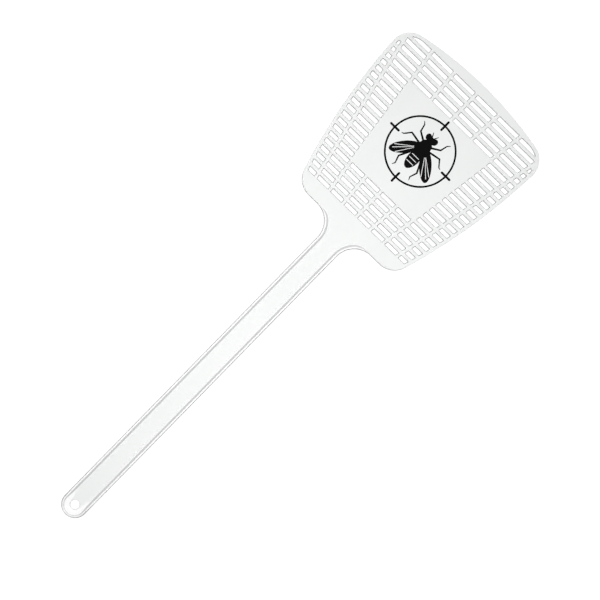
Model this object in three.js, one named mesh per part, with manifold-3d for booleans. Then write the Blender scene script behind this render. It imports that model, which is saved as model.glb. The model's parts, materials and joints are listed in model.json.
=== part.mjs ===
// Fly swatter: one flat plastic moulding with a pad-printed mark.
//
// The swatter lies on its back: X runs across it, Y along it from the hang end to the tip, and Z up out of
// the printed face. The origin is under the middle of its box, on the surface it lies on. Millimetres.
//
// The moulding is divided where its section changes: grip, neck, shoulder, and the head's edge, grille and
// printed panel. Neighbours are a narrow seam apart. The head bends against the shoulder on a line across
// the foot of the grille, where only the ribs and the two edges carry it, so a wider gap is left there.

import * as THREE from 'three';
import { mergeVertices } from 'three/addons/utils/BufferGeometryUtils.js';
import Module from 'manifold-3d';

const wasm = await Module();
wasm.setup();

// ---------------------------------------------------------------- driving dimensions

const LENGTH = 406;
const BUTT_Y = -LENGTH / 2;
const TIP_Y = LENGTH / 2;

// Section: two edge rails with a thinner plate half-way up them.
const RAIL_HEIGHT = 4;
const RAIL_WIDTH = 2;
const PLATE = 1.6;
const PLATE_BOTTOM = (RAIL_HEIGHT - PLATE) / 2;
const PLATE_TOP = PLATE_BOTTOM + PLATE;

// Handle
const HANDLE_HALF = 9.4;
const HANG_END_LENGTH = 21;
const HANG_HOLE_RADIUS = 3.2;
const HANG_END_TOP = BUTT_Y + HANG_END_LENGTH;
const BUTT_CENTRE_Y = BUTT_Y + HANDLE_HALF;

// Neck: a concave fillet on each side, from the handle out to the shoulder's lower edge.
const SHOULDER_Y = 67;
const NECK_RADIUS = 16.2;
const NECK_Y = SHOULDER_Y - NECK_RADIUS;
const NECK_CENTRE_X = HANDLE_HALF + NECK_RADIUS;
const NECK_RAIL_ANGLE = 73;
const NECK_RAIL_FADE_FROM = 38;
const NECK_RAIL_STEPS = 16;

// Head outline: bowed sides and tip, rounded into each other and into the shoulder.
const HEAD_HALF = 66.1;
const SIDE_RADIUS = 417;
const SIDE_CENTRE_Y = 199.6;
const TIP_RADIUS = 280;
const TIP_CORNER_RADIUS = 15;
const SHOULDER_CORNER_RADIUS = 15;

// Grille: level rows of slots between ribs that fan out from a point on the centre line below the head.
const ROWS = 22;
const ROW_PITCH = 5.42;
const FIRST_ROW_Y = 194.3;
const SLOT_HEIGHT = 3.3;
const OUTER_RIB = 3;
const RIB_WIDTH = 2.05;
const FAN_POINT_Y = -107;
const FAN_SLOPE = 0.0688;
const BORDER = 2.4;
const EDGE_SLOTS_FROM_ROW = 2;
const PANEL_RIB = 2;
const PANEL_FIRST_ROW = 5;
const PANEL_LAST_ROW = 16;

// Printed mark: a plain fly inside a sight ring.
const MARK_Y = 141;
const INK = 0.1;
const INK_GAP = 0.02;
const RING_RADIUS = 24;
const RING_WIDTH = 1.3;
const TICK_LENGTH = 7;
const TICK_WIDTH = 1.6;
const LEG_WIDTH = 1.3;

// Seams between neighbours, and how closely chords follow a curve.
const SEAM = 0.2;
const FLEX_GAP = 0.6;
const CHORD_ERROR = 0.02;
const BEYOND = 300;

// ---------------------------------------------------------------- points and solids

const radians = THREE.MathUtils.degToRad;

function point(x, y) {
  return new THREE.Vector2(x, y);
}

// Points on an arc, its two ends among them. Angles are in degrees from +X.
function arc(centre, radius, from, to) {
  const widest = 2 * Math.acos(1 - CHORD_ERROR / radius);
  const steps = Math.ceil(Math.abs(radians(to - from)) / widest);
  return Array.from({ length: steps + 1 }, (_, i) => {
    const angle = radians(from + ((to - from) * i) / steps);
    return point(centre.x + radius * Math.cos(angle), centre.y + radius * Math.sin(angle));
  });
}

function angleFrom(centre, target) {
  return THREE.MathUtils.radToDeg(Math.atan2(target.y - centre.y, target.x - centre.x));
}

// The same points on the other side of the centre line, in the opposite order.
function mirrored(points) {
  return points.map((p) => point(-p.x, p.y)).reverse();
}

function box(left, bottom, right, top) {
  return [point(left, bottom), point(right, bottom), point(right, top), point(left, top)];
}

function solidFrom(geometry) {
  geometry.deleteAttribute('normal');
  geometry.deleteAttribute('uv');
  const merged = mergeVertices(geometry, 1e-4);
  return new wasm.Manifold(new wasm.Mesh({
    numProp: 3,
    vertProperties: new Float32Array(merged.attributes.position.array),
    triVerts: new Uint32Array(merged.index.array),
  }));
}

// Closed outlines, each a list of points, raised into one solid between two heights.
function slabs(outlines, bottom, top) {
  const shapes = outlines.map((points) => new THREE.Shape(points));
  const geometry = new THREE.ExtrudeGeometry(shapes, { depth: top - bottom, bevelEnabled: false });
  geometry.translate(0, 0, bottom);
  return solidFrom(geometry);
}

function slab(points, bottom = 0, top = PLATE) {
  return slabs([points], bottom, top);
}

// A cutter taller than anything it cuts.
function cutter(...outlines) {
  return slabs(outlines, -RAIL_HEIGHT, 2 * RAIL_HEIGHT);
}

// Everything between two heights across the whole width.
function band(bottom, top) {
  return cutter(box(-BEYOND, bottom, BEYOND, top));
}

function geometryOf(solid) {
  const { vertProperties, triVerts } = solid.getMesh();
  const geometry = new THREE.BufferGeometry();
  geometry.setAttribute('position', new THREE.BufferAttribute(vertProperties, 3));
  geometry.setIndex(new THREE.BufferAttribute(triVerts, 1));
  return geometry;
}

// ---------------------------------------------------------------- outline

const sideCentre = point(HEAD_HALF - SIDE_RADIUS, SIDE_CENTRE_Y);
const tipCentre = point(0, TIP_Y - TIP_RADIUS);
const shoulderCornerCentre = findShoulderCornerCentre();
const tipCornerCentre = findTipCornerCentre();

// The corner circle touches the shoulder's lower edge and the side arc from inside.
function findShoulderCornerCentre() {
  const y = SHOULDER_Y + SHOULDER_CORNER_RADIUS;
  const reach = SIDE_RADIUS - SHOULDER_CORNER_RADIUS;
  return point(sideCentre.x + Math.sqrt(reach ** 2 - (y - sideCentre.y) ** 2), y);
}

// The corner circle touches the side arc and the tip arc from inside, so its centre is where two
// smaller circles about those arcs' centres cross.
function findTipCornerCentre() {
  const fromSide = SIDE_RADIUS - TIP_CORNER_RADIUS;
  const fromTip = TIP_RADIUS - TIP_CORNER_RADIUS;
  const apart = tipCentre.clone().sub(sideCentre);
  const along = (apart.lengthSq() + fromSide ** 2 - fromTip ** 2) / (2 * apart.length());
  const across = Math.sqrt(fromSide ** 2 - along ** 2);
  const unit = apart.clone().normalize();
  return point(
    sideCentre.x + unit.x * along - unit.y * across,
    sideCentre.y + unit.y * along + unit.x * across,
  );
}

// Right-hand edge of the head from the shoulder to the middle of the tip, moved in by inset.
function headEdge(inset) {
  const low = angleFrom(sideCentre, shoulderCornerCentre);
  const high = angleFrom(sideCentre, tipCornerCentre);
  const tip = angleFrom(tipCentre, tipCornerCentre);
  return [
    ...arc(sideCentre, SIDE_RADIUS - inset, low, high),
    ...arc(tipCornerCentre, TIP_CORNER_RADIUS - inset, high, tip).slice(1),
    ...arc(tipCentre, TIP_RADIUS - inset, tip, 90).slice(1),
  ];
}

// Right-hand edge of the handle, neck and shoulder, up to where the head's side starts.
function handleEdge() {
  const low = angleFrom(sideCentre, shoulderCornerCentre);
  return [
    ...arc(point(0, BUTT_CENTRE_Y), HANDLE_HALF, -90, 0),
    ...arc(point(NECK_CENTRE_X, NECK_Y), NECK_RADIUS, 180, 90),
    ...arc(shoulderCornerCentre, SHOULDER_CORNER_RADIUS, -90, low).slice(0, -1),
  ];
}

// A right-hand edge and its mirror image as one outline, with no point on the centre line twice.
function closed(rightEdge) {
  return [...rightEdge, ...mirrored(rightEdge).filter((p) => p.x < -CHORD_ERROR)];
}

const blank = slab(closed([...handleEdge(), ...headEdge(0)]));

// ---------------------------------------------------------------- handle

// The end of the handle, moved in by inset. Past is how far it runs on over the seam.
function hangEndOutline(inset, past) {
  const half = HANDLE_HALF - inset;
  return closed([...arc(point(0, BUTT_CENTRE_Y), half, -90, 0), point(half, HANG_END_TOP - SEAM + past)]);
}

// A U-shaped rim round the end of the handle, a thin tab inside it, and the hole it hangs by.
function hangEnd() {
  const inside = cutter(hangEndOutline(RAIL_WIDTH, RAIL_WIDTH));
  const hole = cutter(arc(point(0, BUTT_CENTRE_Y), HANG_HOLE_RADIUS, 0, 360).slice(1));
  const rim = slab(hangEndOutline(0, 0), 0, RAIL_HEIGHT).subtract(inside);
  const tab = slab(hangEndOutline(0, 0), PLATE_BOTTOM, PLATE_TOP);
  return rim.add(tab).subtract(hole);
}

function handleWeb() {
  const half = HANDLE_HALF - RAIL_WIDTH - SEAM;
  return slab(box(-half, HANG_END_TOP, half, NECK_Y - SEAM));
}

function handleRail(side) {
  const outer = side * HANDLE_HALF;
  const inner = side * (HANDLE_HALF - RAIL_WIDTH);
  const left = Math.min(inner, outer);
  const right = Math.max(inner, outer);
  return slab(box(left, HANG_END_TOP, right, NECK_Y - SEAM), 0, RAIL_HEIGHT);
}

// ---------------------------------------------------------------- neck and shoulder

// A bar of rectangular section through a list of stations. Each station gives its two edge points and
// its two heights.
function bar(stations) {
  const corners = stations.flatMap(({ inner, outer, low, high }) => [
    [inner.x, inner.y, low],
    [inner.x, inner.y, high],
    [outer.x, outer.y, high],
    [outer.x, outer.y, low],
  ]);
  const faces = [];
  const quad = (a, b, c, d) => faces.push(a, b, c, a, c, d);
  for (let i = 0; i < stations.length - 1; i += 1) {
    for (let k = 0; k < 4; k += 1) {
      const next = (k + 1) % 4;
      quad(4 * i + k, 4 * i + next, 4 * (i + 1) + next, 4 * (i + 1) + k);
    }
  }
  const last = 4 * (stations.length - 1);
  quad(3, 2, 1, 0);
  quad(last, last + 1, last + 2, last + 3);
  const geometry = new THREE.BufferGeometry();
  geometry.setAttribute('position', new THREE.Float32BufferAttribute(corners.flat(), 3));
  geometry.setIndex(faces);
  return geometry;
}

// The rail goes on round the neck fillet and sinks into the plate before the fillet ends. Grow widens it
// all round and rise makes it taller.
function neckRail(side, grow = 0, rise = 0) {
  const end = NECK_RAIL_ANGLE + THREE.MathUtils.radToDeg(grow / NECK_RADIUS);
  const stations = Array.from({ length: NECK_RAIL_STEPS + 1 }, (_, i) => {
    const turned = (end * i) / NECK_RAIL_STEPS;
    const faded = THREE.MathUtils.smoothstep(turned, NECK_RAIL_FADE_FROM, NECK_RAIL_ANGLE);
    const angle = radians(180 - turned);
    const at = (radius) => point(
      side * (NECK_CENTRE_X + radius * Math.cos(angle)),
      NECK_Y + radius * Math.sin(angle),
    );
    return {
      inner: at(NECK_RADIUS + RAIL_WIDTH + grow),
      outer: at(NECK_RADIUS - grow),
      low: PLATE_BOTTOM * faded - rise,
      high: RAIL_HEIGHT - PLATE_BOTTOM * faded + rise,
    };
  });
  return solidFrom(bar(side > 0 ? stations : stations.reverse()));
}

// What the plate leaves free for both neck rails.
function neckRailRoom() {
  return neckRail(-1, SEAM, RAIL_HEIGHT).add(neckRail(1, SEAM, RAIL_HEIGHT));
}

// The shoulder begins level with the ends of the neck rails.
const NECK_TOP = NECK_Y + NECK_RADIUS * Math.sin(radians(NECK_RAIL_ANGLE));

function neckWeb() {
  return blank.intersect(band(NECK_Y, NECK_TOP - SEAM)).subtract(neckRailRoom());
}

function shoulderPlate() {
  return blank.intersect(band(NECK_TOP, GRILLE_FOOT)).subtract(neckRailRoom());
}

// ---------------------------------------------------------------- head

function rowCentre(row) {
  return FIRST_ROW_Y - row * ROW_PITCH;
}

function ribX(rib, y) {
  return rib * FAN_SLOPE * (y - FAN_POINT_Y);
}

// The level half-way through the rung under a row.
function rungUnder(row) {
  return rowCentre(row) - ROW_PITCH / 2;
}

const GRILLE_FOOT = rowCentre(ROWS - 1) - SLOT_HEIGHT / 2;
const GRILLE_START = GRILLE_FOOT + FLEX_GAP;
const GRILLE_TOP = rowCentre(0) + SLOT_HEIGHT / 2;
const PANEL_TOP = rungUnder(PANEL_FIRST_ROW - 1);
const PANEL_BOTTOM = rungUnder(PANEL_LAST_ROW);

// The slot between a rib and the next one to its right, with its ends along them.
function slot(row, rib) {
  const low = rowCentre(row) - SLOT_HEIGHT / 2;
  const high = rowCentre(row) + SLOT_HEIGHT / 2;
  const left = (y) => ribX(rib, y) + RIB_WIDTH / 2;
  const right = (y) => ribX(rib + 1, y) - RIB_WIDTH / 2;
  return [point(left(low), low), point(right(low), low), point(right(high), high), point(left(high), high)];
}

function hasSlot(row, rib) {
  const onEdge = rib < -OUTER_RIB || rib >= OUTER_RIB;
  const besidePanel = rib < -PANEL_RIB || rib >= PANEL_RIB;
  const inPanelRows = row >= PANEL_FIRST_ROW && row <= PANEL_LAST_ROW;
  return (row >= EDGE_SLOTS_FROM_ROW || !onEdge) && (besidePanel || !inPanelRows);
}

// Every slot, none nearer to the head's edge than the border.
function openings() {
  const outlines = [];
  for (let row = 0; row < ROWS; row += 1) {
    for (let rib = -OUTER_RIB - 1; rib <= OUTER_RIB; rib += 1) {
      if (hasSlot(row, rib)) outlines.push(slot(row, rib));
    }
  }
  return cutter(...outlines).intersect(cutter(closed(headEdge(BORDER))));
}

const grille = slab(closed(headEdge(BORDER + SEAM))).subtract(openings());

function tipBand() {
  return blank.intersect(band(GRILLE_TOP, TIP_Y + 1));
}

function rim(side) {
  const half = cutter(box(Math.min(0, side * BEYOND), GRILLE_START, Math.max(0, side * BEYOND), GRILLE_TOP - SEAM));
  return blank.intersect(half).subtract(cutter(closed(headEdge(BORDER))));
}

function grilleAcross(bottom, top) {
  return grille.intersect(band(bottom, top));
}

// The panel reaches to the outer faces of two of the ribs; grow moves its four sides out.
function panelOutline(grow) {
  const low = PANEL_BOTTOM + SEAM / 2 - grow;
  const high = PANEL_TOP - SEAM / 2 + grow;
  const half = (y) => ribX(PANEL_RIB, y) + RIB_WIDTH / 2 + grow;
  return [point(-half(low), low), point(half(low), low), point(half(high), high), point(-half(high), high)];
}

function imprintPanel() {
  return slab(panelOutline(0));
}

function grilleBeside(side) {
  const bottom = PANEL_BOTTOM + SEAM / 2;
  const top = PANEL_TOP - SEAM / 2;
  const half = cutter(box(Math.min(0, side * BEYOND), bottom, Math.max(0, side * BEYOND), top));
  return grille.intersect(half).subtract(cutter(panelOutline(SEAM)));
}

// ---------------------------------------------------------------- printed mark

function ellipse(x, y, halfWidth, halfLength, lean) {
  const steps = 36;
  return Array.from({ length: steps }, (_, i) => {
    const angle = (2 * Math.PI * i) / steps;
    const p = point(halfWidth * Math.cos(angle), halfLength * Math.sin(angle));
    return p.rotateAround(point(0, 0), radians(lean)).add(point(x, y));
  });
}

function stroke(from, to, width) {
  const heading = angleFrom(from, to);
  return [...arc(to, width / 2, heading - 90, heading + 90), ...arc(from, width / 2, heading + 90, heading + 270)];
}

function inked(outlines) {
  const solids = outlines.map((points) => slab(points, 0, INK));
  return solids.reduce((joined, solid) => joined.add(solid)).translate([0, MARK_Y, 0]);
}

function flyHalf(side) {
  const legs = [
    [[3.4, 6.2], [9.6, 10.4], [10.8, 16.2]],
    [[3.6, 3.6], [13.4, 5.2], [17.2, 0.4]],
    [[11.4, -3.4], [17.8, -5.4], [17.4, -12.6]],
  ];
  const at = ([x, y]) => point(side * x, y);
  const legStrokes = legs.flatMap(([hip, knee, foot]) => [
    stroke(at(hip), at(knee), LEG_WIDTH),
    stroke(at(knee), at(foot), LEG_WIDTH),
  ]);
  const eye = ellipse(side * 2.7, 11.2, 2.1, 2.3, 0);
  const wing = ellipse(side * 9.6, -4.8, 4.1, 11.4, side * 42);
  return [eye, wing, ...legStrokes];
}

function imprintFly() {
  const head = ellipse(0, 10.4, 3.4, 2.6, 0);
  const thorax = ellipse(0, 4.2, 4.7, 5.4, 0);
  const abdomen = ellipse(0, -6.2, 4.2, 8.4, 0);
  return inked([head, thorax, abdomen, ...flyHalf(-1), ...flyHalf(1)]);
}

function imprintRing() {
  const centre = point(0, 0);
  const disc = slab(arc(centre, RING_RADIUS + RING_WIDTH / 2, 0, 360).slice(1), 0, INK);
  const inside = cutter(arc(centre, RING_RADIUS - RING_WIDTH / 2, 0, 360).slice(1));
  const ring = disc.subtract(inside).translate([0, MARK_Y, 0]);
  const ticks = [0, 90, 180, 270].map((turn) => {
    const away = point(Math.cos(radians(turn)), Math.sin(radians(turn)));
    const near = away.clone().multiplyScalar(RING_RADIUS - TICK_LENGTH / 2);
    const far = away.clone().multiplyScalar(RING_RADIUS + TICK_LENGTH / 2);
    return stroke(near, far, TICK_WIDTH);
  });
  return ring.add(inked(ticks));
}

// ---------------------------------------------------------------- assembly

function plastic() {
  return new THREE.MeshStandardMaterial({ color: 0xf3f5f4, roughness: 0.42, metalness: 0 });
}

function ink() {
  return new THREE.MeshStandardMaterial({ color: 0x101112, roughness: 0.6, metalness: 0 });
}

function part(name, solid, material, height = 0) {
  const mesh = new THREE.Mesh(geometryOf(solid), material);
  mesh.name = name;
  mesh.position.z = height;
  return mesh;
}

function handle() {
  const group = new THREE.Group();
  group.add(
    part('hang_end', hangEnd(), plastic()),
    part('handle_web', handleWeb(), plastic(), PLATE_BOTTOM),
    part('handle_rail_left', handleRail(-1), plastic()),
    part('handle_rail_right', handleRail(1), plastic()),
    part('neck_web', neckWeb(), plastic(), PLATE_BOTTOM),
    part('neck_rail_left', neckRail(-1), plastic()),
    part('neck_rail_right', neckRail(1), plastic()),
    part('shoulder_plate', shoulderPlate(), plastic(), PLATE_BOTTOM),
  );
  return group;
}

function head() {
  const group = new THREE.Group();
  group.position.z = PLATE_BOTTOM;
  group.add(
    part('rim_left', rim(-1), plastic()),
    part('rim_right', rim(1), plastic()),
    part('tip_band', tipBand(), plastic()),
    part('grille_upper', grilleAcross(PANEL_TOP + SEAM / 2, GRILLE_TOP - SEAM), plastic()),
    part('grille_lower', grilleAcross(GRILLE_START, PANEL_BOTTOM - SEAM / 2), plastic()),
    part('grille_left', grilleBeside(-1), plastic()),
    part('grille_right', grilleBeside(1), plastic()),
    part('imprint_panel', imprintPanel(), plastic()),
    part('imprint_fly', imprintFly(), ink(), PLATE + INK_GAP),
    part('imprint_ring', imprintRing(), ink(), PLATE + INK_GAP),
  );
  return group;
}

const swatter = new THREE.Group();
swatter.add(handle(), head());

export default swatter;
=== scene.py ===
"""Fly swatter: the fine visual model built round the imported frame, with its stage, lights and camera.

The real swatter is one white moulding with a black print. Each visible piece stands for one CAD node and
meets its neighbours exactly, so that the moulding reads as one. The flat pieces are cut from one plate with
rounded edges, and the rails are one section swept along the handle's edge. Lengths are in millimetres and
angles in degrees, and objects in the scene are in metres.
"""

import json
import math

import bmesh
import bpy
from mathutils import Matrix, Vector
from mathutils.geometry import delaunay_2d_cdt


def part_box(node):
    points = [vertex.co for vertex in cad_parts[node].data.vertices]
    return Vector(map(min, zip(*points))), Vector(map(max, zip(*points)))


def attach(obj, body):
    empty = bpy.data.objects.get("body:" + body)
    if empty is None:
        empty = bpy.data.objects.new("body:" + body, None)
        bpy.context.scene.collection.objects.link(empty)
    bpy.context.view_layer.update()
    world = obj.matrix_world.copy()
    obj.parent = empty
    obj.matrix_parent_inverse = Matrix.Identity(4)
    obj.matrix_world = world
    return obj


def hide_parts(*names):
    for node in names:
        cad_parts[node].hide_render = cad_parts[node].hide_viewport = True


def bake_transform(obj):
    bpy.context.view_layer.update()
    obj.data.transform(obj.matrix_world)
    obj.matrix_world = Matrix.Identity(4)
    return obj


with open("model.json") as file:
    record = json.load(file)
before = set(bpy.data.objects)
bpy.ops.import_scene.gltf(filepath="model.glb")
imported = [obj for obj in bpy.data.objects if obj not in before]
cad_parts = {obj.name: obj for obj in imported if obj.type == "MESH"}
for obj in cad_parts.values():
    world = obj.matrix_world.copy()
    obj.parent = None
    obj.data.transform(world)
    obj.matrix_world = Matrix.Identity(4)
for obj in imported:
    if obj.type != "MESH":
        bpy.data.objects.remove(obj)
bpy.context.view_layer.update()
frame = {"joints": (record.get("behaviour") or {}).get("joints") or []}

MM = 0.001


def mm(length):
    """A length given in metres, in millimetres."""
    return length / MM


def metres(x, y, z):
    """A point given in millimetres, in metres."""
    return (x * MM, y * MM, z * MM)


# ------------------------------------------------------------------ dimensions from the frame

rail_low, rail_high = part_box("handle_rail_right")
plate_low, plate_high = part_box("handle_web")

BUTT_Y = mm(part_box("hang_end")[0].y)
HANG_TOP_Y = mm(rail_low.y)
TIP_Y = mm(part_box("tip_band")[1].y)
FLEX_Y = mm(frame["joints"][0]["pos_m"][1])
HANDLE_HALF = mm(rail_high.x)
MID_Z = mm(rail_low.z + rail_high.z) / 2
RAIL_HALF = mm(rail_high.z - rail_low.z) / 2
PLATE_HALF = mm(plate_high.z - plate_low.z) / 2

# ------------------------------------------------------------------ dimensions as in the CAD model

# Handle and neck
HANG_HOLE_RADIUS = 3.2
SHOULDER_Y = 67
NECK_RADIUS = 16.2
NECK_RAIL_ANGLE = 73

# Head outline: bowed sides and tip, rounded into each other and into the shoulder.
HEAD_HALF = 66.1
SIDE_RADIUS = 417
SIDE_CENTRE_Y = 199.6
TIP_RADIUS = 280
TIP_CORNER_RADIUS = 15
SHOULDER_CORNER_RADIUS = 15

# Grille: level rows of slots between ribs that fan out from a point on the centre line.
ROWS = 22
ROW_PITCH = 5.42
FIRST_ROW_Y = 194.3
SLOT_HEIGHT = 3.3
OUTER_RIB = 3
RIB_WIDTH = 2.05
FAN_POINT_Y = -107
FAN_SLOPE = 0.0688
BORDER = 2.4
EDGE_SLOTS_FROM_ROW = 2
PANEL_RIB = 2
PANEL_FIRST_ROW = 5
PANEL_LAST_ROW = 16

# Printed mark: a fly inside a sight ring with four ticks.
MARK_Y = 141
RING_RADIUS = 24
RING_WIDTH = 1.3
TICK_LENGTH = 7
TICK_WIDTH = 1.6

# ------------------------------------------------------------------ fine shape

# The plate's outer edge is rounded, and its side leans in towards the printed face.
EDGE = 0.3
EDGE_STEPS = 4
SIDE_LEAN = 0.35

# Slots and the hang hole have a finer edge, and they narrow towards the back.
OPENING_EDGE = 0.14
OPENING_STEPS = 2
OPENING_DRAFT = 0.4
HOLE_DRAFT = 0.1
SLOT_CORNER = 0.5

# The rail's section: its top, its steep flank, and the ramp from there out into the plate. RAIL_TOP is how
# far in the flank starts, and RAMP_CORNER is how far along the ramp its curve turns.
RAIL_TOP = 1.45
RAIL_OUTER_ROUND = 0.4
RAIL_INNER_ROUND = 0.3
FLANK = 36
FILLET = 0.3
RAMP_RISE = 0.12
RAMP_LENGTH = 1.9
RAMP_CORNER = 0.45
OUTER_STEPS = 6
CREST_STEPS = 4
FILLET_STEPS = 5
RAMP_STEPS = 6

# Round the hang end the ramp swells into a raised crescent, with its curve's turn further along. DISH_DEPTH
# is the share of the hang end's length over which it comes in.
DISH_RISE = 0.5
DISH_LENGTH = 3.5
DISH_CORNER = 0.85
DISH_DEPTH = 0.75

# Round the neck the rail narrows from one angle on, sinks from the next one on, and ends at the last.
TAPER_FROM = 45
SINK_FROM = 50
RAIL_END_ANGLE = 88
SUNK_AT_END = 0.985

# How many steps the rail takes down the hang end's side, up the handle, and round the neck.
HANG_STEPS = 12
STRAIGHT_STEPS = 24
NECK_STEPS = 60

# The ink's thickness, and the hair's breadth that keeps it off the panel.
INK = 0.03
INK_LIFT = 0.002

# The head bends over this far on each side of its hinge line, in steps this long.
FLEX_HALF = 9.5
FLEX_STEP = 0.9

# ------------------------------------------------------------------ how pieces are made

# How far a chord may leave its arc, and the turn from which a corner counts as sharp.
CHORD_ERROR = 0.006
SHARP_TURN = 20

# Faces are filled with triangles inside their borders, and points this close are one.
INSIDE_BORDERS = 1
SAME_POINT = 1e-6

# The angle from which an edge between faces is shaded sharp.
SHARP_EDGE = 35

# Cutters reach this far above and below the mid-plane, this far out to the sides, and this far past an end.
KNIFE = 10
BEYOND = 120
PAST_END = 1

# Cuts between a rim and its grille run this far inside the solid border, and the hang tab runs this far in
# under the ramp round it.
INSIDE_CUT = 0.5
TAB_OVERLAP = 0.5

# ------------------------------------------------------------------ floor and camera

# The floor is wide enough to fill any view from above, and low enough for the head to bend down above it.
FLOOR_HALF = 6000
FLOOR_LEVEL = -70

# The camera looks straight down from this height, turned so that the swatter runs up to the right, and takes
# in this width at the swatter's mid-plane. It stands this far from the origin, to its own right and up the
# swatter.
CAMERA_HEIGHT = 1500
CAMERA_TURN = 44.38
SEEN_WIDTH = 406.6
TO_RIGHT = 16.97
UP_SWATTER = 0.3
SENSOR = 36

# ------------------------------------------------------------------ outlines


def between(start, end, share):
    return start + (end - start) * share


def smoothstep(value, low, high):
    t = min(max((value - low) / (high - low), 0), 1)
    return t * t * (3 - 2 * t)


def arc(centre, radius, start, end, steps=None):
    """Points on an arc, both ends among them. Angles are from +X."""
    widest = 2 * math.acos(1 - CHORD_ERROR / radius)
    steps = steps or math.ceil(abs(math.radians(end - start)) / widest)
    angles = [math.radians(start + (end - start) * i / steps) for i in range(steps + 1)]
    return [Vector((centre[0] + radius * math.cos(a), centre[1] + radius * math.sin(a))) for a in angles]


def circle(centre, radius):
    return arc(centre, radius, 0, 360)[1:]


def heading(start, end):
    """The direction from one point to another, from +X."""
    return math.degrees(math.atan2(end[1] - start[1], end[0] - start[0]))


def mirrored(points):
    """The points on the other side of the centre line, in the opposite order."""
    return [Vector((-p.x, p.y)) for p in reversed(points)]


def both_sides(right_edge):
    """A right-hand edge and its mirror image as one closed outline."""
    return right_edge + [p for p in mirrored(right_edge) if p.x < -CHORD_ERROR]


def rectangle(left, low, right, high):
    return [Vector(p) for p in ((left, low), (right, low), (right, high), (left, high))]


def crossing(a, b, level):
    """Where the line from a to b reaches a level in Y."""
    return a.lerp(b, (level - a.y) / (b.y - a.y))


def stretch(chain, low, high):
    """The part of a rising chain of points between two levels, with new end points on them."""
    inside = [p for p in chain if low < p.y < high]
    first = next((crossing(a, b, low) for a, b in zip(chain, chain[1:]) if a.y <= low < b.y), None)
    last = next((crossing(a, b, high) for a, b in zip(chain, chain[1:]) if a.y < high <= b.y), None)
    return ([first] if first else []) + inside + ([last] if last else [])


def clipped(outline, window):
    """An outline cut to a convex window. The window's points run anticlockwise."""
    points = outline
    for a, b in zip(window, window[1:] + window[:1]):
        side = [(b - a).cross(p - a) for p in points]
        kept = []
        for i, p in enumerate(points):
            here, there = side[i], side[i - 1]
            if (here >= 0) != (there >= 0):
                kept.append(points[i - 1].lerp(p, there / (there - here)))
            if here >= 0:
                kept.append(p)
        points = kept
    return points


def rounded(outline, radius):
    """An outline with each sharp corner rounded. Points too near a corner give way to its round."""
    corners = {}
    for i, p in enumerate(outline):
        back = (outline[i - 1] - p).normalized()
        ahead = (outline[(i + 1) % len(outline)] - p).normalized()
        half = back.angle(ahead) / 2
        if 180 - math.degrees(2 * half) > SHARP_TURN:
            corners[i] = (p, back, ahead, radius / math.tan(half), radius / math.sin(half))
    points = []
    for i, p in enumerate(outline):
        if i in corners:
            at, back, ahead, reach, away = corners[i]
            centre = at + (back + ahead).normalized() * away
            start = heading(centre, at + back * reach)
            end = heading(centre, at + ahead * reach)
            points += arc(centre, radius, start, start + (end - start + 180) % 360 - 180)
        elif all((p - at).length > reach for at, _, _, reach, _ in corners.values()):
            points.append(p)
    return points


# ------------------------------------------------------------------ outline of the swatter

side_centre = Vector((HEAD_HALF - SIDE_RADIUS, SIDE_CENTRE_Y))
tip_centre = Vector((0, TIP_Y - TIP_RADIUS))
neck_centre = Vector((HANDLE_HALF + NECK_RADIUS, SHOULDER_Y - NECK_RADIUS))
butt_centre = Vector((0, BUTT_Y + HANDLE_HALF))


def shoulder_corner_centre():
    """The centre of the circle that touches the shoulder's lower edge and the side arc from inside."""
    y = SHOULDER_Y + SHOULDER_CORNER_RADIUS
    reach = SIDE_RADIUS - SHOULDER_CORNER_RADIUS
    return Vector((side_centre.x + math.sqrt(reach**2 - (y - side_centre.y) ** 2), y))


def tip_corner_centre():
    """The centre of the circle that touches the side arc and the tip arc from inside."""
    from_side = SIDE_RADIUS - TIP_CORNER_RADIUS
    from_tip = TIP_RADIUS - TIP_CORNER_RADIUS
    apart = tip_centre - side_centre
    along = (apart.length_squared + from_side**2 - from_tip**2) / (2 * apart.length)
    across = math.sqrt(from_side**2 - along**2)
    unit = apart.normalized()
    return side_centre + unit * along + Vector((-unit.y, unit.x)) * across


def head_edge(inset):
    """Right-hand edge of the head from the shoulder to the middle of the tip, moved in by inset."""
    low = heading(side_centre, shoulder_corner_centre())
    corner = tip_corner_centre()
    high = heading(side_centre, corner)
    tip = heading(tip_centre, corner)
    return (
        arc(side_centre, SIDE_RADIUS - inset, low, high)
        + arc(corner, TIP_CORNER_RADIUS - inset, high, tip)[1:]
        + arc(tip_centre, TIP_RADIUS - inset, tip, 90)[1:]
    )


def handle_edge():
    """Right-hand edge of the handle, neck and shoulder, up to where the head's side starts."""
    corner = shoulder_corner_centre()
    low = heading(side_centre, corner)
    return (
        arc(butt_centre, HANDLE_HALF, -90, 0)
        + arc(neck_centre, NECK_RADIUS, 180, 90)
        + arc(corner, SHOULDER_CORNER_RADIUS, -90, low)[:-1]
    )


def row_y(row):
    return FIRST_ROW_Y - row * ROW_PITCH


def rib_x(rib, y):
    return rib * FAN_SLOPE * (y - FAN_POINT_Y)


def slot_outline(row, rib, window):
    """The slot between a rib and the next one to its right, kept a border's width inside the head's edge."""
    levels = (row_y(row) - SLOT_HEIGHT / 2, row_y(row) + SLOT_HEIGHT / 2)
    left = [Vector((rib_x(rib, y) + RIB_WIDTH / 2, y)) for y in levels]
    right = [Vector((rib_x(rib + 1, y) - RIB_WIDTH / 2, y)) for y in levels]
    return rounded(clipped(left[:1] + right + left[1:], window), SLOT_CORNER)


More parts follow.
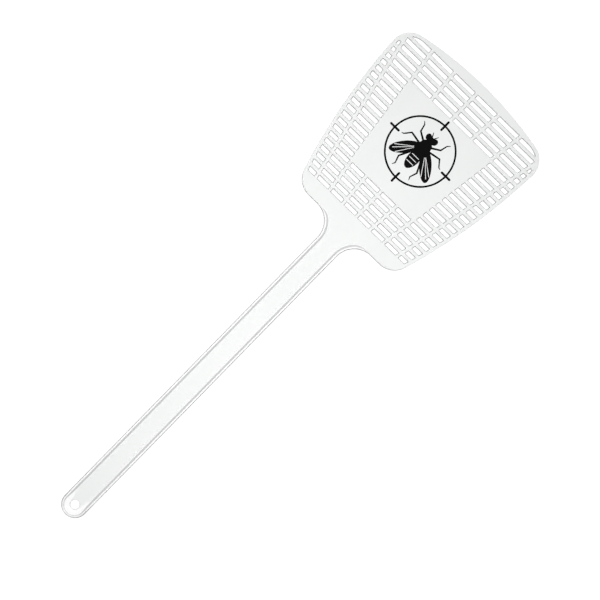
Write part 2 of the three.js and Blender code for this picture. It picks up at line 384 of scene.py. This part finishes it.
def has_slot(row, rib):
    on_edge = rib < -OUTER_RIB or rib >= OUTER_RIB
    beside_panel = rib < -PANEL_RIB or rib >= PANEL_RIB
    in_panel_rows = PANEL_FIRST_ROW <= row <= PANEL_LAST_ROW
    return (row >= EDGE_SLOTS_FROM_ROW or not on_edge) and (beside_panel or not in_panel_rows)


def slot_outlines():
    window = both_sides(head_edge(BORDER))
    cells = [(row, rib) for row in range(ROWS) for rib in range(-OUTER_RIB - 1, OUTER_RIB + 1)]
    return [slot_outline(row, rib, window) for row, rib in cells if has_slot(row, rib)]


# ------------------------------------------------------------------ meshes


def put(name, mesh):
    """A new object with this mesh, in the scene."""
    piece = bpy.data.objects.new(name, mesh)
    bpy.context.scene.collection.objects.link(piece)
    return piece


def mesh_from(name, build):
    """A mesh filled in by build, with its faces turned outwards."""
    work = bmesh.new()
    build(work)
    bmesh.ops.recalc_face_normals(work, faces=work.faces)
    mesh = bpy.data.meshes.new(name)
    work.to_mesh(mesh)
    work.free()
    return mesh


def apply_modifiers(piece):
    """The piece's mesh becomes what its modifiers make of it."""
    graph = bpy.context.evaluated_depsgraph_get()
    final = piece.evaluated_get(graph)
    mesh = bpy.data.meshes.new_from_object(final, preserve_all_data_layers=True, depsgraph=graph)
    piece.modifiers.clear()
    piece.data = mesh


def combined(piece, other, operation):
    """The piece after a cut or join with another one, which is used up."""
    change = piece.modifiers.new("change", "BOOLEAN")
    change.operation = operation
    change.solver = "MANIFOLD"
    change.object = other
    apply_modifiers(piece)
    bpy.data.objects.remove(other)
    return piece


def strip(work, ring, after):
    """A closed strip of faces between two rings of as many points."""
    for i in range(len(ring)):
        work.faces.new((ring[i - 1], ring[i], after[i], after[i - 1]))


def prism(name, outline, low, high):
    """A straight-sided solid over an outline, between two heights."""

    def build(work):
        bottom = [work.verts.new(metres(p.x, p.y, low)) for p in outline]
        top = [work.verts.new(metres(p.x, p.y, high)) for p in outline]
        work.faces.new(bottom)
        work.faces.new(top)
        strip(work, bottom, top)

    return put(name, mesh_from(name, build))


# ------------------------------------------------------------------ the plate


def moved_in(outline, insets):
    """An outline with each point moved to the left of its way round, where the material is."""
    points = []
    for i, (p, inset) in enumerate(zip(outline, insets)):
        back = (p - outline[i - 1]).normalized()
        ahead = (outline[(i + 1) % len(outline)] - p).normalized()
        along = (back + ahead).normalized()
        points.append(p + Vector((-along.y, along.x)) * inset / along.dot(ahead))
    return points


def edge_profile(edge, steps, bottom_in):
    """A rounded edge from the top face down to the bottom one, as (in, up)."""
    top = arc((edge, PLATE_HALF - edge), edge, 90, 180, steps)
    return top + [Vector((p.x + bottom_in, -p.y)) for p in reversed(top)]


def outside_lean(p):
    """How far the plate's outer side leans in: fully up to the shoulder, and not at all beside the head."""
    return SIDE_LEAN * (1 - smoothstep(p.y, SHOULDER_Y, SHOULDER_Y + SHOULDER_CORNER_RADIUS))


def fill(work, rings):
    """Flat faces inside the first ring and outside the others, which are convex."""
    corners = [corner for ring in rings for corner in ring]
    owner = [k for k, ring in enumerate(rings) for _ in ring]
    borders = []
    for ring in rings:
        first = len(borders)
        borders += [(first + i, first + (i + 1) % len(ring)) for i in range(len(ring))]
    flat = [Vector((mm(corner.co.x), mm(corner.co.y))) for corner in corners]
    faces = delaunay_2d_cdt(flat, borders, [], INSIDE_BORDERS, SAME_POINT)[2]
    for face in faces:
        owners = {owner[i] for i in face}
        if owners == {0} or len(owners) > 1:
            work.faces.new([corners[i] for i in face])


def plate_edges():
    """Every edge of the plate: its outline, its rounded profile, and each point's lean."""
    outside = both_sides(handle_edge() + head_edge(0))
    hole = circle(butt_centre, HANG_HOLE_RADIUS)
    hole_profile = edge_profile(OPENING_EDGE, OPENING_STEPS, -HOLE_DRAFT)
    slot_profile = edge_profile(OPENING_EDGE, OPENING_STEPS, -OPENING_DRAFT)
    edges = [
        (outside, edge_profile(EDGE, EDGE_STEPS, 0), [outside_lean(p) for p in outside]),
        (hole[::-1], hole_profile, [0] * len(hole)),
    ]
    return edges + [(slot[::-1], slot_profile, [0] * len(slot)) for slot in slot_outlines()]


def edge_rings(work, outline, profile, leans):
    """Rings of corners down an edge of the plate. The ones above the mid-plane lean in."""
    rings = []
    for inset, level in profile:
        ring = moved_in(outline, [inset + (lean if level > 0 else 0) for lean in leans])
        rings.append([work.verts.new(metres(p.x, p.y, MID_Z + level)) for p in ring])
    return rings


def plate_blank():
    """The whole flat plate, with its slots and hang hole."""

    def build(work):
        top_rings = []
        bottom_rings = []
        for edge in plate_edges():
            rings = edge_rings(work, *edge)
            for upper, lower in zip(rings, rings[1:]):
                strip(work, upper, lower)
            top_rings.append(rings[0])
            bottom_rings.append(rings[-1])
        fill(work, top_rings)
        fill(work, bottom_rings)

    return mesh_from("plate_blank", build)


blank = plate_blank()


def cut_plate(name, region):
    """The part of the plate inside a region."""
    return combined(put(name, blank), prism("knife", region, MID_Z - KNIFE, MID_Z + KNIFE), "INTERSECT")


# ------------------------------------------------------------------ the rails

# A rail is swept along stations. A station is an edge point, the way in from it, and the narrow, sunk and
# dish of the section there.


def curve(start, corner, end, steps):
    """Points on the curve from start to end that a corner draws in, without the start."""
    shares = [i / steps for i in range(1, steps + 1)]
    return [start.lerp(corner, t).lerp(corner.lerp(end, t), t) for t in shares]


def half_section(narrow, sunk, dish, lean):
    """The rail's section above the mid-plane, from its outer side in to its toe, as (in, up).

    It is a round-topped rail, a steep flank, and a long ramp that runs out into the plate. Narrow brings the
    flank out towards the edge, sunk takes the rail down to the plate, and dish raises and lengthens the
    ramp."""
    left = 1 - sunk
    top = between(PLATE_HALF, RAIL_HALF, left)
    outer_round = between(EDGE, RAIL_OUTER_ROUND, left)
    outer = arc((lean + outer_round, top - outer_round), outer_round, 180, 90, OUTER_STEPS)
    crest_in = between(RAIL_TOP, SIDE_LEAN + EDGE, narrow)
    inner_round = RAIL_INNER_ROUND * left
    crest = arc((crest_in, top - inner_round), inner_round, 90, 90 - FLANK, CREST_STEPS)
    ramp_rise = between(RAMP_RISE, DISH_RISE, dish) * left
    run = (crest[-1].y - PLATE_HALF - ramp_rise) / math.tan(math.radians(FLANK))
    foot = Vector((crest[-1].x + run, PLATE_HALF + ramp_rise))
    length = between(RAMP_LENGTH, DISH_LENGTH, dish) * left
    turn = between(RAMP_CORNER, DISH_CORNER, dish)
    corner = Vector((foot.x + turn * length, PLATE_HALF + ramp_rise * dish))
    toe = Vector((foot.x + length, PLATE_HALF))
    flank_end = foot + (crest[-1] - foot).normalized() * FILLET * left
    ramp_start = foot + (corner - foot).normalized() * FILLET * left
    fillet = curve(flank_end, foot, ramp_start, FILLET_STEPS)
    ramp = curve(ramp_start, corner, toe, RAMP_STEPS)
    return outer + crest + [flank_end] + fillet + ramp


# The narrow, sunk and dish of the rail along the handle.
PLAIN = (0, 0, 0)


def toe_in(shape):
    """How far in from the edge a section of this shape reaches."""
    return half_section(*shape, 0)[-1].x


def rail_section(narrow, sunk, dish):
    """The whole section. Its outer side leans in at the top, and twice as far round the hang end."""
    above = half_section(narrow, sunk, dish, SIDE_LEAN * (1 + dish))
    below = half_section(narrow, sunk, dish, 0)
    return above + [Vector((p.x, -p.y)) for p in reversed(below)]


def straight_stations(side):
    """Up one edge of the handle."""
    levels = [between(HANG_TOP_Y, neck_centre.y, i / STRAIGHT_STEPS) for i in range(STRAIGHT_STEPS + 1)]
    return [(Vector((side * HANDLE_HALF, y)), Vector((-side, 0)), *PLAIN) for y in levels]


def neck_stations(side):
    """Round the neck's fillet, narrowing and sinking into the plate before its end."""
    found = []
    for i in range(NECK_STEPS + 1):
        turned = RAIL_END_ANGLE * i / NECK_STEPS
        away = Vector((-math.cos(math.radians(turned)), math.sin(math.radians(turned))))
        at = neck_centre + away * NECK_RADIUS
        narrow = smoothstep(turned, TAPER_FROM, RAIL_END_ANGLE)
        sunk = SUNK_AT_END * smoothstep(turned, SINK_FROM, RAIL_END_ANGLE)
        found.append((Vector((side * at.x, at.y)), Vector((side * away.x, away.y)), narrow, sunk, 0))
    return found


def hang_stations():
    """Down to the handle's end on the left, round it, and up on the right, dished round the hole."""
    levels = [between(HANG_TOP_Y, butt_centre.y, i / HANG_STEPS) for i in range(HANG_STEPS)]
    left = [(Vector((-HANDLE_HALF, y)), Vector((1, 0))) for y in levels]
    end = [(at, (butt_centre - at).normalized()) for at in arc(butt_centre, HANDLE_HALF, 180, 360)]
    right = [(Vector((HANDLE_HALF, y)), Vector((-1, 0))) for y in reversed(levels)]
    depth = DISH_DEPTH * (HANG_TOP_Y - BUTT_Y)
    return [(at, inward, 0, 0, smoothstep(HANG_TOP_Y - at.y, 0, depth)) for at, inward in left + end + right]


def toe_line(stations, under=0):
    """Where the rail's ramp runs out into the plate, or a line that far under the ramp."""
    return [at + inward * (toe_in(shape) - under) for at, inward, *shape in stations]


def rail(name, stations):
    """The rail's section swept along stations."""

    def build(work):
        rings = []
        for at, inward, *shape in stations:
            section = [
                metres(at.x + inward.x * p.x, at.y + inward.y * p.x, MID_Z + p.y)
                for p in rail_section(*shape)
            ]
            rings.append([work.verts.new(corner) for corner in section])
        for ring, after in zip(rings, rings[1:]):
            strip(work, ring, after)
        work.faces.new(rings[0])
        work.faces.new(rings[-1])

    return put(name, mesh_from(name, build))


# ------------------------------------------------------------------ regions of the plate

HANDLE_INSIDE = HANDLE_HALF - toe_in(PLAIN)
NECK_TOP_Y = neck_centre.y + NECK_RADIUS * math.sin(math.radians(NECK_RAIL_ANGLE))
PANEL_TOP_Y = row_y(PANEL_FIRST_ROW - 1) - ROW_PITCH / 2
PANEL_LOW_Y = row_y(PANEL_LAST_ROW) - ROW_PITCH / 2
GRILLE_TOP_Y = row_y(0) + SLOT_HEIGHT / 2 + INSIDE_CUT


def on_side(side, right_region):
    """A right-hand region, or its mirror image when the side is -1."""
    return right_region if side > 0 else mirrored(right_region)


def neck_region():
    """Between the two rails' toes, from the handle's web up to the shoulder."""
    return both_sides(stretch(toe_line(neck_stations(1)), neck_centre.y - PAST_END, NECK_TOP_Y))


def shoulder_region():
    """Above the neck, round the outside of the rails' ends, up to the line that the head bends on.

    It leaves the neck's edge a millimetre out, past the plate's rounded side."""
    stations = neck_stations(1)
    toes = stretch(toe_line(stations), NECK_TOP_Y, TIP_Y)
    at, inward = stations[-1][:2]
    outside = at - inward
    return both_sides(toes + [outside, Vector((BEYOND, outside.y)), Vector((BEYOND, FLEX_Y))])


def inner_edge(low, high):
    """The line between the head's right-hand rim and its grille, between two levels."""
    return stretch(head_edge(BORDER - INSIDE_CUT), low, high)


def rim_region(side):
    outside = [Vector((BEYOND, GRILLE_TOP_Y)), Vector((BEYOND, FLEX_Y))]
    return on_side(side, inner_edge(FLEX_Y, GRILLE_TOP_Y) + outside)


def across_region(low, high):
    return both_sides(inner_edge(low, high))


def panel_side():
    """The right-hand side of the solid panel, upwards."""
    levels = (PANEL_LOW_Y, PANEL_TOP_Y)
    return [Vector((rib_x(PANEL_RIB, y) + RIB_WIDTH / 2 - INSIDE_CUT, y)) for y in levels]


def beside_region(side):
    return on_side(side, inner_edge(PANEL_LOW_Y, PANEL_TOP_Y) + panel_side()[::-1])


# ------------------------------------------------------------------ finishing a piece


def cross_cut(piece):
    """Cuts lines across a piece where it bends, so that it bends in a smooth curve."""
    work = bmesh.new()
    work.from_mesh(piece.data)
    steps = math.ceil(2 * FLEX_HALF / FLEX_STEP)
    for i in range(steps + 1):
        level = FLEX_Y - FLEX_HALF + 2 * FLEX_HALF * i / steps
        everything = [*work.verts, *work.edges, *work.faces]
        bmesh.ops.bisect_plane(work, geom=everything, plane_co=metres(0, level, 0), plane_no=(0, 1, 0))
    work.to_mesh(piece.data)
    work.free()


def shade(piece):
    """Makes rounds look smooth and flat faces truly flat."""
    for face in piece.data.polygons:
        face.use_smooth = True
    piece.data.set_sharp_from_angle(angle=math.radians(SHARP_EDGE))
    weigh = piece.modifiers.new("weigh", "WEIGHTED_NORMAL")
    weigh.keep_sharp = True
    apply_modifiers(piece)


def dress(piece, node, material):
    """Gives a piece its material, and hides the CAD node that it stands for."""
    piece.data.materials.clear()
    piece.data.materials.append(material)
    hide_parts(node)


def let_bend(piece):
    """Bakes the piece's placement into its mesh; it is not attached to the handle or the head."""
    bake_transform(piece)


# ------------------------------------------------------------------ materials

# Noise seldom leaves this range.
NOISE_LOW = 0.3
NOISE_HIGH = 0.7

# Where a mix node keeps its colours.
MIX_FIRST = 6
MIX_SECOND = 7
MIX_RESULT = 2

# The height off the mid-plane from which the painted glow is full: the plastic is painted as white there as
# light scattered back inside it would make it look.
PAINTED_GLOW_FULL_AT = 1.2 * PLATE_HALF


def new_material(name):
    material = bpy.data.materials.new(name)
    material.use_nodes = True
    nodes = material.node_tree.nodes
    return material, nodes, material.node_tree.links, nodes["Principled BSDF"]


def noise(nodes, links, scale, detail, squeeze=(1, 1, 1)):
    """Noise in the frame that all pieces share, so that it runs on from piece to piece."""
    place = nodes.new("ShaderNodeTexCoord")
    mapping = nodes.new("ShaderNodeMapping")
    mapping.inputs["Scale"].default_value = squeeze
    texture = nodes.new("ShaderNodeTexNoise")
    texture.inputs["Scale"].default_value = scale
    texture.inputs["Detail"].default_value = detail
    links.new(place.outputs["Object"], mapping.inputs["Vector"])
    links.new(mapping.outputs["Vector"], texture.inputs["Vector"])
    return texture.outputs["Fac"]


def spread(nodes, links, value, low, high):
    """Noise spread between two numbers."""
    ranged = nodes.new("ShaderNodeMapRange")
    ranged.inputs["From Min"].default_value = NOISE_LOW
    ranged.inputs["From Max"].default_value = NOISE_HIGH
    ranged.inputs["To Min"].default_value = low
    ranged.inputs["To Max"].default_value = high
    links.new(value, ranged.inputs["Value"])
    return ranged.outputs["Result"]


def graded(nodes, links, value, low, high):
    """0 at one value and 1 at another, with a soft run between."""
    ranged = nodes.new("ShaderNodeMapRange")
    ranged.interpolation_type = "SMOOTHSTEP"
    ranged.inputs["From Min"].default_value = low
    ranged.inputs["From Max"].default_value = high
    links.new(value, ranged.inputs["Value"])
    return ranged.outputs["Result"]


def bumped(nodes, links, height, depth, before=None):
    """Bumps this many metres deep, on top of those that came before."""
    bump = nodes.new("ShaderNodeBump")
    bump.inputs["Strength"].default_value = 1
    bump.inputs["Distance"].default_value = depth
    links.new(height, bump.inputs["Height"])
    if before is not None:
        links.new(before, bump.inputs["Normal"])
    return bump.outputs["Normal"]


def size_of_z(nodes, links, source, middle=0):
    """How far the Z of a texture coordinate is from a middle value."""
    place = nodes.new("ShaderNodeTexCoord")
    parts = nodes.new("ShaderNodeSeparateXYZ")
    away = nodes.new("ShaderNodeMath")
    away.operation = "SUBTRACT"
    away.inputs[1].default_value = middle
    size = nodes.new("ShaderNodeMath")
    size.operation = "ABSOLUTE"
    links.new(place.outputs[source], parts.inputs["Vector"])
    links.new(parts.outputs["Z"], away.inputs[0])
    links.new(away.outputs["Value"], size.inputs[0])
    return size.outputs["Value"]


def blended(nodes, links, factor, first, second):
    """One colour mixed into another. A colour is three numbers or another node's output."""
    mix = nodes.new("ShaderNodeMix")
    mix.data_type = "RGBA"
    links.new(factor, mix.inputs["Factor"])
    for socket, colour in ((mix.inputs[MIX_FIRST], first), (mix.inputs[MIX_SECOND], second)):
        if isinstance(colour, tuple):
            socket.default_value = (*colour, 1)
        else:
            links.new(colour, socket)
    return mix.outputs[MIX_RESULT]


def white_plastic(name, dense, flat, steep, side):
    """White moulded plastic: faint flow clouds, a satin skin, and sides greyer than the flats by painted
    shade.

    Flat and steep are the Z of the surface's normal where the painted side shade starts and where it is
    full.
    The plastic lets some light through; dense stands in for it with a painted glow, painting the plastic
    whiter where its surface stands above the plate's faces."""
    material, nodes, links, shader = new_material(name)
    dull = (0.745, 0.76, 0.752)
    clear = (0.765, 0.775, 0.766)
    # The white that the painted glow turns the plastic to.
    painted_glow_white = (0.86, 0.865, 0.86)
    flow = noise(nodes, links, scale=55, detail=3, squeeze=(1, 0.25, 1))
    cloud = spread(nodes, links, flow, 0, 1)
    colour = blended(nodes, links, cloud, dull, clear)
    # Painted glow: the base colour turns whiter where the surface stands above the plate's faces, in place
    # of light scattered back inside the plastic.
    if dense:
        height = size_of_z(nodes, links, "Object", MID_Z * MM)
        depth = graded(nodes, links, height, PLATE_HALF * MM, PAINTED_GLOW_FULL_AT * MM)
        colour = blended(nodes, links, depth, colour, painted_glow_white)
    # Painted shade: the base colour turns greyer where the surface turns steep, in place of the shade that
    # falls on its sides.
    painted_side_shade_mask = graded(nodes, links, size_of_z(nodes, links, "Normal"), flat, steep)
    links.new(blended(nodes, links, painted_side_shade_mask, colour, side), shader.inputs["Base Color"])
    skin = noise(nodes, links, scale=420, detail=4)
    links.new(spread(nodes, links, skin, 0.46, 0.56), shader.inputs["Roughness"])
    grain = noise(nodes, links, scale=2600, detail=2)
    waves = bumped(nodes, links, flow, depth=0.00005)
    links.new(bumped(nodes, links, grain, depth=0.000004, before=waves), shader.inputs["Normal"])
    shader.inputs["IOR"].default_value = 1.49
    return material


def black_ink():
    """Matt pad-printing ink: dense black with slight unevenness."""
    material, nodes, links, shader = new_material("black_ink")
    dense = (0.0015, 0.0015, 0.0015)
    thin = (0.004, 0.004, 0.0045)
    patches = noise(nodes, links, scale=900, detail=4)
    cloud = spread(nodes, links, patches, 0, 1)
    colour = blended(nodes, links, cloud, dense, thin)
    links.new(colour, shader.inputs["Base Color"])
    links.new(spread(nodes, links, patches, 0.6, 0.75), shader.inputs["Roughness"])
    grain = noise(nodes, links, scale=3200, detail=2)
    links.new(bumped(nodes, links, grain, depth=0.000005), shader.inputs["Normal"])
    shader.inputs["Specular IOR Level"].default_value = 0.04
    return material


# Painted side shade: the grey that each copy of the plastic takes where its surface turns steep.
HEAD_PAINTED_SIDE_SHADE = (0.44, 0.45, 0.445)
HANDLE_PAINTED_SIDE_SHADE = (0.5, 0.51, 0.505)

# Two copies of the plastic with their painted side shade set apart; the handle's copy also has the painted
# glow.
head_plastic_painted_shade = white_plastic("white_plastic", dense=False, flat=0.85, steep=0.25, side=HEAD_PAINTED_SIDE_SHADE)
handle_plastic_painted_glow_and_shade = white_plastic("white_plastic_painted_glow", dense=True, flat=0.97, steep=0.73, side=HANDLE_PAINTED_SIDE_SHADE)

# ------------------------------------------------------------------ the moulding


def hang_end():
    """The rim round the handle's end, with the tab inside it and its hole."""
    rim = rail("hang_end_moulded", hang_stations())
    tab = cut_plate("hang_tab", toe_line(hang_stations(), under=TAB_OVERLAP))
    return combined(rim, tab, "UNION")


def handle_pieces():
    web = rectangle(-HANDLE_INSIDE, HANG_TOP_Y, HANDLE_INSIDE, neck_centre.y)
    return {
        "hang_end": hang_end(),
        "handle_web": cut_plate("handle_web_moulded", web),
        "handle_rail_left": rail("handle_rail_left_moulded", straight_stations(-1)),
        "handle_rail_right": rail("handle_rail_right_moulded", straight_stations(1)),
        "neck_web": cut_plate("neck_web_moulded", neck_region()),
        "neck_rail_left": rail("neck_rail_left_moulded", neck_stations(-1)),
        "neck_rail_right": rail("neck_rail_right_moulded", neck_stations(1)),
    }


def bending_pieces():
    return {
        "shoulder_plate": cut_plate("shoulder_moulded", shoulder_region()),
        "rim_left": cut_plate("rim_left_moulded", rim_region(-1)),
        "rim_right": cut_plate("rim_right_moulded", rim_region(1)),
        "grille_lower": cut_plate("grille_lower_moulded", across_region(FLEX_Y, PANEL_LOW_Y)),
    }


def head_pieces():
    tip = rectangle(-BEYOND, GRILLE_TOP_Y, BEYOND, TIP_Y + PAST_END)
    return {
        "tip_band": cut_plate("tip_band_moulded", tip),
        "grille_upper": cut_plate("grille_upper_moulded", across_region(PANEL_TOP_Y, GRILLE_TOP_Y)),
        "grille_left": cut_plate("grille_left_moulded", beside_region(-1)),
        "grille_right": cut_plate("grille_right_moulded", beside_region(1)),
        "imprint_panel": cut_plate("imprint_panel_moulded", both_sides(panel_side())),
    }


def make_moulding():
    for node, piece in handle_pieces().items():
        shade(piece)
        dress(piece, node, handle_plastic_painted_glow_and_shade)
        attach(piece, "handle")
    for node, piece in bending_pieces().items():
        cross_cut(piece)
        shade(piece)
        dress(piece, node, head_plastic_painted_shade)
        let_bend(piece)
    for node, piece in head_pieces().items():
        shade(piece)
        dress(piece, node, head_plastic_painted_shade)
        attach(piece, "head")


make_moulding()

# ------------------------------------------------------------------ the print


def film(name, shapes, gaps):
    """Flat ink over shapes that may overlap, with gaps left in it. Points are from the mark's own middle."""
    low = MID_Z + PLATE_HALF + INK_LIFT

    def stamp(outline, past=0):
        return prism("stamp", [p + Vector((0, MARK_Y)) for p in outline], low - past, low + INK + past)

    piece = stamp(shapes[0])
    for shape in shapes[1:]:
        combined(piece, stamp(shape), "UNION")
    for gap in gaps:
        combined(piece, stamp(gap, past=INK), "DIFFERENCE")
    piece.name = name
    return piece


def taper(start, end, start_width, end_width):
    """A round-ended bar between two points, of one width at its start and another at its end."""
    way = heading(start, end)
    far = arc(end, end_width / 2, way - 90, way + 90)
    near = arc(start, start_width / 2, way + 90, way + 270)
    return far + near


def ellipse(centre, half_width, half_length, lean=0):
    along = Vector((math.cos(math.radians(lean)), math.sin(math.radians(lean))))
    across = Vector((-along.y, along.x))
    unit = circle((0, 0), 1)
    return [Vector(centre) + along * p.x * half_width + across * p.y * half_length for p in unit]


def leg(*joints):
    """A leg through its joints, thinner from each to the next."""
    widths = [1.5, 1.15, 0.8, 0.5]
    points = [Vector(joint) for joint in joints]
    return [taper(*ends) for ends in zip(points, points[1:], widths, widths[1:])]


def fly_half():
    """The right-hand half of the fly: an eye, a feeler, a wing and three legs."""
    eye = ellipse((2.75, 11.1), 2.05, 2.45, -18)
    feeler = taper(Vector((0.9, 12.6)), Vector((2.3, 15.4)), 0.8, 0.45)
    wing = ellipse((9.5, -4.7), 4.2, 11.4, 42)
    front = leg((3.2, 6.4), (9.4, 10.2), (10.6, 15.2), (12.2, 16.8))
    middle = leg((3.6, 3.6), (13.0, 5.4), (16.6, 1.0), (18.0, 0.6))
    back = leg((3.4, -1.6), (8.6, -12.2), (6.9, -17.2), (7.9, -19.2))
    return [eye, feeler, wing, *front, *middle, *back]


def wing_veins():
    """The lines that the ink leaves free in the right-hand wing, from near its root to near its edge."""
    root = Vector((3.4, 1.4))
    edge = [Vector((17.6, -9.4)), Vector((17.0, -12.2)), Vector((13.2, -13.4))]
    start = 0.16
    end = 0.9
    return [taper(root.lerp(p, start), root.lerp(p, end), start_width=0.3, end_width=0.5) for p in edge]


def tail_bands():
    """The lines that the ink leaves free across the tail."""
    half = 2.9
    width = 0.5
    return [taper(Vector((-half, y)), Vector((half, y)), width, width) for y in (-4.6, -7.4, -10.2)]


def fly():
    head = ellipse((0, 10.3), 3.2, 2.5)
    chest = ellipse((0, 4.3), 4.7, 5.3)
    tail = ellipse((0, -6.2), 4.3, 8.4)
    half = fly_half()
    veins = wing_veins()
    inked = [head, chest, tail, *half, *map(mirrored, half)]
    return film("printed_fly", inked, [*veins, *map(mirrored, veins), *tail_bands()])


def sight_ring():
    ring = [circle((0, 0), RING_RADIUS + RING_WIDTH / 2)]
    inside = [circle((0, 0), RING_RADIUS - RING_WIDTH / 2)]
    piece = film("printed_ring", ring, inside)
    for turn in (0, 90, 180, 270):
        way = Vector((math.cos(math.radians(turn)), math.sin(math.radians(turn))))
        near = way * (RING_RADIUS - TICK_LENGTH / 2)
        far = way * (RING_RADIUS + TICK_LENGTH / 2)
        combined(piece, film("tick", [taper(near, far, TICK_WIDTH, TICK_WIDTH)], []), "UNION")
    return piece


def make_print():
    ink = black_ink()
    for node, piece in (("imprint_fly", fly()), ("imprint_ring", sight_ring())):
        dress(piece, node, ink)
        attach(piece, "head")


make_print()

# ------------------------------------------------------------------ stage, lights and camera


def floor():
    """A pale floor that shows no shadow, low enough for the head to bend down above it."""
    outline = rectangle(-FLOOR_HALF, -FLOOR_HALF, FLOOR_HALF, FLOOR_HALF)

    def build(work):
        work.faces.new([work.verts.new(metres(p.x, p.y, FLOOR_LEVEL)) for p in outline])

    piece = put("floor", mesh_from("floor", build))
    material, *_, shader = new_material("floor")
    shader.inputs["Base Color"].default_value = (0.1, 0.1, 0.1, 1)
    shader.inputs["Roughness"].default_value = 0.9
    shader.inputs["Emission Color"].default_value = (1, 1, 1, 1)
    shader.inputs["Emission Strength"].default_value = 1
    piece.data.materials.append(material)


def area_light(name, place, target, size, watts):
    """A round lamp aimed at a point, in metres."""
    light = bpy.data.lights.new(name, "AREA")
    light.shape = "DISK"
    light.size = size
    light.energy = watts
    lamp = bpy.data.objects.new(name, light)
    bpy.context.scene.collection.objects.link(lamp)
    lamp.location = place
    lamp.rotation_euler = (Vector(target) - Vector(place)).to_track_quat("-Z", "Y").to_euler()
    lamp.visible_camera = False


def surroundings(strength):
    world = bpy.data.worlds.new("surroundings")
    world.use_nodes = True
    background = world.node_tree.nodes["Background"]
    background.inputs["Color"].default_value = (1, 1, 1, 1)
    background.inputs["Strength"].default_value = strength
    bpy.context.scene.world = world


def camera():
    turn = math.radians(CAMERA_TURN)
    to_right = Vector((math.cos(turn), math.sin(turn), 0)) * TO_RIGHT * MM
    data = bpy.data.cameras.new("camera")
    data.sensor_width = SENSOR
    data.lens = SENSOR * (CAMERA_HEIGHT - MID_Z) / SEEN_WIDTH
    holder = bpy.data.objects.new("camera", data)
    bpy.context.scene.collection.objects.link(holder)
    holder.location = to_right + Vector(metres(0, UP_SWATTER, CAMERA_HEIGHT))
    holder.rotation_euler = (0, 0, turn)
    bpy.context.scene.camera = holder


floor()
surroundings(strength=0.15)
area_light("overhead", place=(0, -0.035, 0.65), target=(0, -0.035, 0), size=0.4, watts=3.75)
area_light("from_tip", place=(-0.15, 2.15, 1.4), target=(0, 0, 0), size=0.8, watts=24)
camera()
bpy.context.scene.view_settings.view_transform = "Standard"
